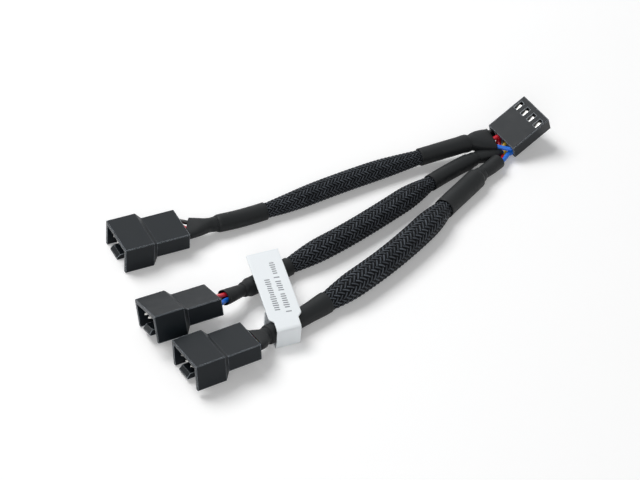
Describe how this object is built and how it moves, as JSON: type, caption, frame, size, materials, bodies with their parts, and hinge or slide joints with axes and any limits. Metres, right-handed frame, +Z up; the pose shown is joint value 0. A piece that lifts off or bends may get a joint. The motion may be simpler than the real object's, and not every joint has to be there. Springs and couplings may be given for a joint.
{
  "type": "fan splitter cable",
  "caption": "Short cable that splits one fan header to several shrouded fan plugs, with braided branches, shrink tubes, coloured wires and a folded paper flag.",
  "frame": {"origin": "on the table, under the middle of the box round the four housings", "axes": "+X along the lead from the plugs to the socket, +Y across it towards the first plug, +Z up from the table"},
  "size_m": [0.1379, 0.0608, 0.0113],
  "materials": {
    "black_plastic": "satin moulded black",
    "tinned_brass": "tin plated, bright",
    "shrink_tube": "matte heat-shrink tube",
    "braid": "woven monofilament braid",
    "paper": "smooth white paper label",
    "wire_black": "satin insulation",
    "wire_red": "satin insulation",
    "wire_yellow": "satin insulation",
    "wire_blue": "satin insulation"
  },
  "bodies": {
    "root": {"female_housing": "black_plastic", "female_terminal_1": "tinned_brass", "female_terminal_2": "tinned_brass", "female_terminal_3": "tinned_brass", "female_terminal_4": "tinned_brass", "male_housing_1": "black_plastic", "male_pin_1_1": "tinned_brass", "male_pin_1_2": "tinned_brass", "male_pin_1_4": "tinned_brass", "black_wire_1": "wire_black", "red_wire_1": "wire_red", "blue_wire_1": "wire_blue", "plug_wire_tube_1": "shrink_tube", "plug_sleeve_tube_1": "shrink_tube", "socket_sleeve_tube_1": "shrink_tube", "socket_wire_tube_1": "shrink_tube", "braided_sleeve_1": "braid", "male_housing_2": "black_plastic", "male_pin_2_1": "tinned_brass", "male_pin_2_2": "tinned_brass", "male_pin_2_4": "tinned_brass", "black_wire_2": "wire_black", "red_wire_2": "wire_red", "blue_wire_2": "wire_blue", "plug_wire_tube_2": "shrink_tube", "plug_sleeve_tube_2": "shrink_tube", "socket_sleeve_tube_2": "shrink_tube", "socket_wire_tube_2": "shrink_tube", "braided_sleeve_2": "braid", "male_housing_3": "black_plastic", "male_pin_3_1": "tinned_brass", "male_pin_3_2": "tinned_brass", "male_pin_3_3": "tinned_brass", "male_pin_3_4": "tinned_brass", "black_wire_3": "wire_black", "red_wire_3": "wire_red", "yellow_wire_3": "wire_yellow", "blue_wire_3": "wire_blue", "plug_wire_tube_3": "shrink_tube", "plug_sleeve_tube_3": "shrink_tube", "socket_sleeve_tube_3": "shrink_tube", "socket_wire_tube_3": "shrink_tube", "braided_sleeve_3": "braid", "paper_label": "paper"}
  },
  "joints": []
}
